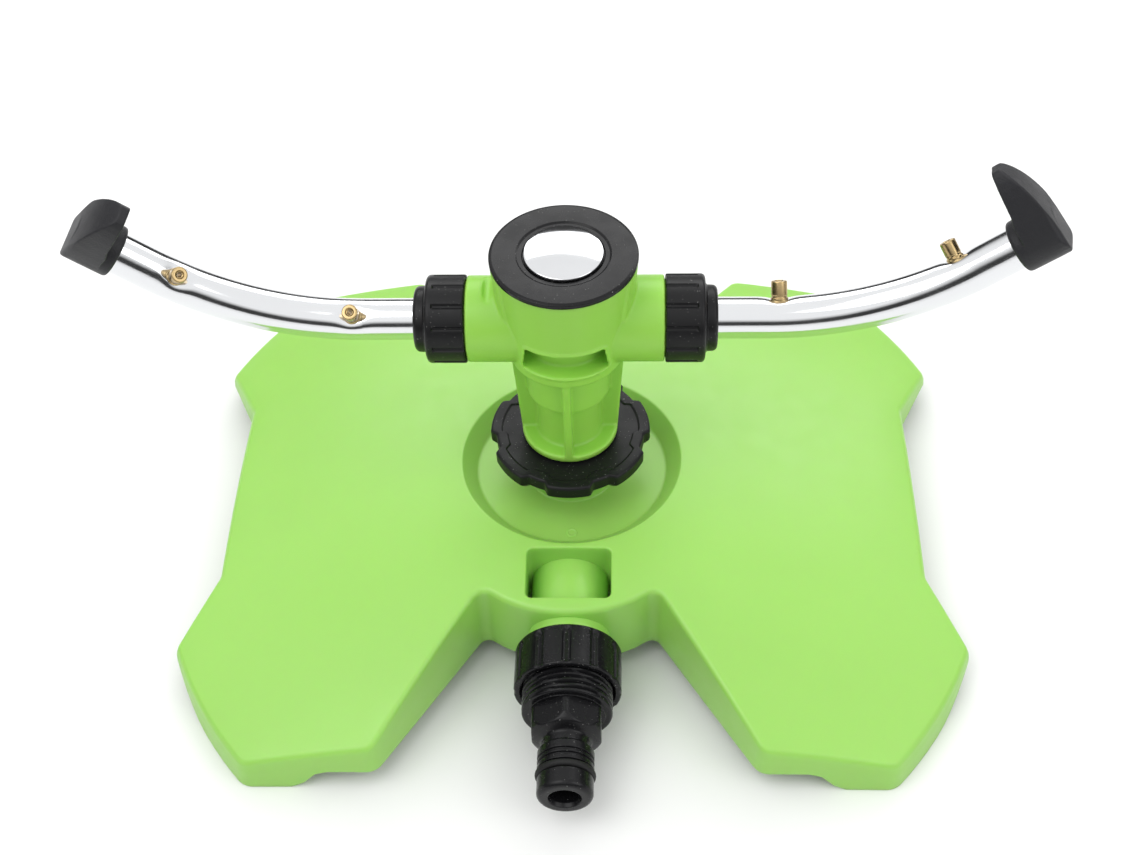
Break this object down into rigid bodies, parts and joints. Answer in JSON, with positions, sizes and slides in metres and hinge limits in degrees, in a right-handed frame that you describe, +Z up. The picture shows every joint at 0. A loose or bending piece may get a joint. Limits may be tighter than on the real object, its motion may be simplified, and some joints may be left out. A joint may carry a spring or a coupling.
{
  "type": "rotary lawn sprinkler",
  "caption": "Low sled-base lawn sprinkler: a screw-in head spins two bent aluminium arms with brass jets and turnable end fins.",
  "frame": {"origin": "on the ground, under the middle of the sprinkler's bounding box", "axes": "+X along the arms as they rest, +Y away from the hose inlet, +Z up"},
  "size_m": [0.2724, 0.2056, 0.1405],
  "materials": {
    "green_plastic": "satin moulded polypropylene",
    "black_plastic": "satin moulded nylon",
    "grained_plastic": "fine-grained soft black plastic",
    "black_rubber": "matt moulded rubber",
    "white_acetal": "smooth acetal",
    "polished_aluminium": "bright polished and anodised",
    "brass": "turned",
    "stainless_steel": "pressed",
    "chrome": "bright plated"
  },
  "bodies": {
    "base": {"base_moulding": "green_plastic"},
    "head_carrier": {"socket_o_ring": "black_rubber"},
    "spindle": {"spindle_handwheel": "black_plastic", "thrust_washer": "stainless_steel", "spindle_nut": "brass"},
    "rotor": {"rotor_body": "green_plastic", "lower_bush": "white_acetal", "upper_bush": "white_acetal", "shaft_seal": "black_rubber", "top_cap": "black_plastic", "top_cap_o_ring": "black_rubber", "cap_disc": "chrome", "arm_seal_left": "black_rubber", "arm_seal_right": "black_rubber"},
    "rear_cap_carrier": {"rear_cap_washer": "black_rubber"},
    "rear_cap": {"rear_end_cap": "black_plastic"},
    "inlet_carrier": {"inlet_washer": "black_rubber"},
    "inlet_coupling": {"inlet_coupling": "black_plastic"},
    "adapter_carrier": {"adapter_washer": "black_rubber"},
    "hose_adapter": {"hose_adapter": "black_plastic", "nipple_o_ring": "black_rubber"},
    "arm_left": {"arm_tube_left": "polished_aluminium", "nozzle_left_inner": "brass", "nozzle_left_outer": "brass"},
    "nut_carrier_left": {"grip_ring_left": "white_acetal"},
    "nut_left": {"arm_nut_left": "black_plastic"},
    "fin_left": {"fin_cap_left": "grained_plastic", "fin_o_ring_left": "black_rubber"},
    "arm_right": {"arm_tube_right": "polished_aluminium", "nozzle_right_inner": "brass", "nozzle_right_outer": "brass"},
    "nut_carrier_right": {"grip_ring_right": "white_acetal"},
    "nut_right": {"arm_nut_right": "black_plastic"},
    "fin_right": {"fin_cap_right": "grained_plastic", "fin_o_ring_right": "black_rubber"}
  },
  "joints": [
    {"name": "head_screw_slide", "type": "slide", "parent": "base", "child": "head_carrier", "axis": [0, 0, 1], "range_m": [0, 0.02176]},
    {"name": "head_screw_turn", "type": "hinge", "parent": "head_carrier", "child": "spindle", "pos_m": [0, 0.00621, 0.0346], "axis": [0, 0, 1], "range_deg": [0, 4320]},
    {"name": "rotor_spin", "type": "hinge", "parent": "spindle", "child": "rotor", "pos_m": [0, 0.00621, 0.0929], "axis": [0, 0, 1], "continuous": true},
    {"name": "arm_left_twist", "type": "hinge", "parent": "rotor", "child": "arm_left", "pos_m": [-0.0277, 0.00621, 0.0929], "axis": [-1, 0, 0], "range_deg": [-45, 45]},
    {"name": "arm_nut_left_slide", "type": "slide", "parent": "rotor", "child": "nut_carrier_left", "axis": [-1, 0, 0], "range_m": [0, 0.0098]},
    {"name": "arm_nut_left_turn", "type": "hinge", "parent": "nut_carrier_left", "child": "nut_left", "pos_m": [-0.033, 0.00621, 0.0929], "axis": [-1, 0, 0], "range_deg": [0, 2340]},
    {"name": "fin_left_turn", "type": "hinge", "parent": "arm_left", "child": "fin_left", "pos_m": [-0.12214, 0.00621, 0.11877], "axis": [-0.788, 0, 0.6157], "range_deg": [-45, 45]},
    {"name": "arm_right_twist", "type": "hinge", "parent": "rotor", "child": "arm_right", "pos_m": [0.0277, 0.00621, 0.0929], "axis": [1, 0, 0], "range_deg": [-45, 45]},
    {"name": "arm_nut_right_slide", "type": "slide", "parent": "rotor", "child": "nut_carrier_right", "axis": [1, 0, 0], "range_m": [0, 0.0098]},
    {"name": "arm_nut_right_turn", "type": "hinge", "parent": "nut_carrier_right", "child": "nut_right", "pos_m": [0.033, 0.00621, 0.0929], "axis": [1, 0, 0], "range_deg": [0, 2340]},
    {"name": "fin_right_turn", "type": "hinge", "parent": "arm_right", "child": "fin_right", "pos_m": [0.12214, 0.00621, 0.11877], "axis": [0.788, 0, 0.6157], "range_deg": [-45, 45]},
    {"name": "rear_cap_slide", "type": "slide", "parent": "base", "child": "rear_cap_carrier", "axis": [0, 1, 0], "range_m": [0, 0.01093]},
    {"name": "rear_cap_turn", "type": "hinge", "parent": "rear_cap_carrier", "child": "rear_cap", "pos_m": [0, 0.07621, 0.0165], "axis": [0, 1, 0], "range_deg": [0, 2160]},
    {"name": "inlet_coupling_slide", "type": "slide", "parent": "base", "child": "inlet_carrier", "axis": [0, -1, 0], "range_m": [0, 0.00549]},
    {"name": "inlet_coupling_turn", "type": "hinge", "parent": "inlet_carrier", "child": "inlet_coupling", "pos_m": [0, -0.05779, 0.0165], "axis": [0, -1, 0], "range_deg": [0, 1080]},
    {"name": "hose_adapter_slide", "type": "slide", "parent": "inlet_coupling", "child": "adapter_carrier", "axis": [0, -1, 0], "range_m": [0, 0.00458]},
    {"name": "hose_adapter_turn", "type": "hinge", "parent": "adapter_carrier", "child": "hose_adapter", "pos_m": [0, -0.06679, 0.0165], "axis": [0, -1, 0], "range_deg": [0, 900]}
  ],
  "couplings": [
    {"joint": "head_screw_turn", "follows": "head_screw_slide", "rad_per_m": 3463.7},
    {"joint": "arm_nut_left_slide", "follows": "arm_nut_left_turn", "m_per_rad": 0.00023873},
    {"joint": "arm_nut_right_slide", "follows": "arm_nut_right_turn", "m_per_rad": 0.00023873},
    {"joint": "rear_cap_slide", "follows": "rear_cap_turn", "m_per_rad": 0.00028871},
    {"joint": "inlet_coupling_slide", "follows": "inlet_coupling_turn", "m_per_rad": 0.00028871},
    {"joint": "hose_adapter_slide", "follows": "hose_adapter_turn", "m_per_rad": 0.00028871}
  ]
}
